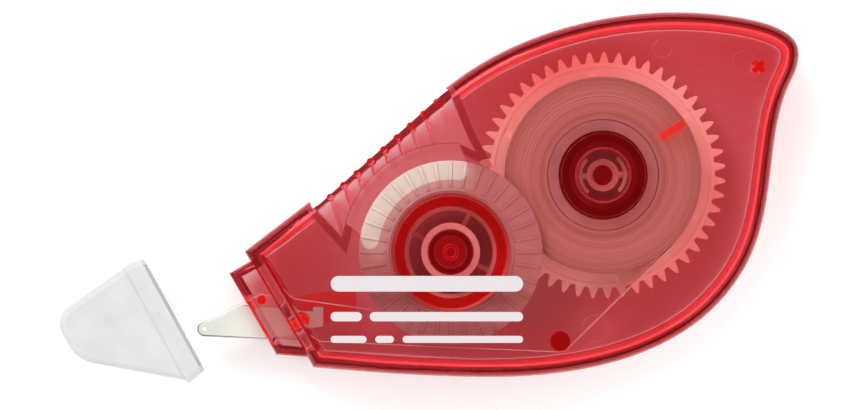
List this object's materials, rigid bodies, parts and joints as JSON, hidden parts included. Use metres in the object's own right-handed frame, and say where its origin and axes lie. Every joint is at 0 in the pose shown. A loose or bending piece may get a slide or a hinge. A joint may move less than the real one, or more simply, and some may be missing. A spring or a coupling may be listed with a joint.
{
  "type": "correction tape roller",
  "caption": "Hand-held correction tape roller: clear coloured casing, geared tape spools, finger wheel in a window, wedge tip with a press roller, slide-on cap.",
  "frame": {"origin": "on the back cover's outer face, on the supply spool's axle", "axes": "+X from the tip towards the tail, +Y towards the grip edge, +Z from the back cover to the front cover"},
  "size_m": [0.0947, 0.0475, 0.014],
  "materials": {
    "casing_red": "clear red, glossy, moulded",
    "pale_plastic": "off-white, satin, moulded",
    "tape_pack": "wound film, fine concentric edges",
    "tape_white": "white-coated film",
    "tape_carrier": "translucent film",
    "tip_plastic": "off-white, slightly translucent",
    "cap_clear": "natural translucent, satin"
  },
  "bodies": {
    "casing": {"front_cover": "casing_red", "back_cover": "casing_red", "applicator": "tip_plastic", "roller_pin": "pale_plastic", "tape_supply_run": "tape_white", "tape_return_run": "tape_carrier"},
    "supply_gear": {"supply_gear": "pale_plastic", "clutch_spring": "pale_plastic"},
    "supply_core": {"supply_core": "pale_plastic", "tape_pack": "tape_pack"},
    "takeup": {"takeup_spool": "pale_plastic", "finger_wheel": "pale_plastic", "takeup_winding": "tape_carrier"},
    "roller": {"press_roller": "tip_plastic"},
    "cap": {"cap": "cap_clear"}
  },
  "joints": [
    {"name": "supply_spin", "type": "hinge", "parent": "casing", "child": "supply_gear", "pos_m": [0, 0, 0.0031], "axis": [0, 0, 1], "continuous": true},
    {"name": "clutch_slip", "type": "hinge", "parent": "supply_gear", "child": "supply_core", "pos_m": [0, 0, 0.007], "axis": [0, 0, 1], "continuous": true},
    {"name": "takeup_spin", "type": "hinge", "parent": "casing", "child": "takeup", "pos_m": [-0.01955, -0.00988, 0.0031], "axis": [0, 0, 1], "continuous": true},
    {"name": "roller_spin", "type": "hinge", "parent": "casing", "child": "roller", "pos_m": [-0.05115, -0.01975, 0.007], "axis": [0, 0, 1], "continuous": true},
    {"name": "cap_slide", "type": "slide", "parent": "casing", "child": "cap", "axis": [0.9984, 0.057, 0], "range_m": [0, 0.0132]}
  ],
  "couplings": [
    {"joint": "takeup_spin", "follows": "supply_spin", "ratio": -2.3182},
    {"joint": "roller_spin", "follows": "supply_spin", "ratio": 14}
  ]
}
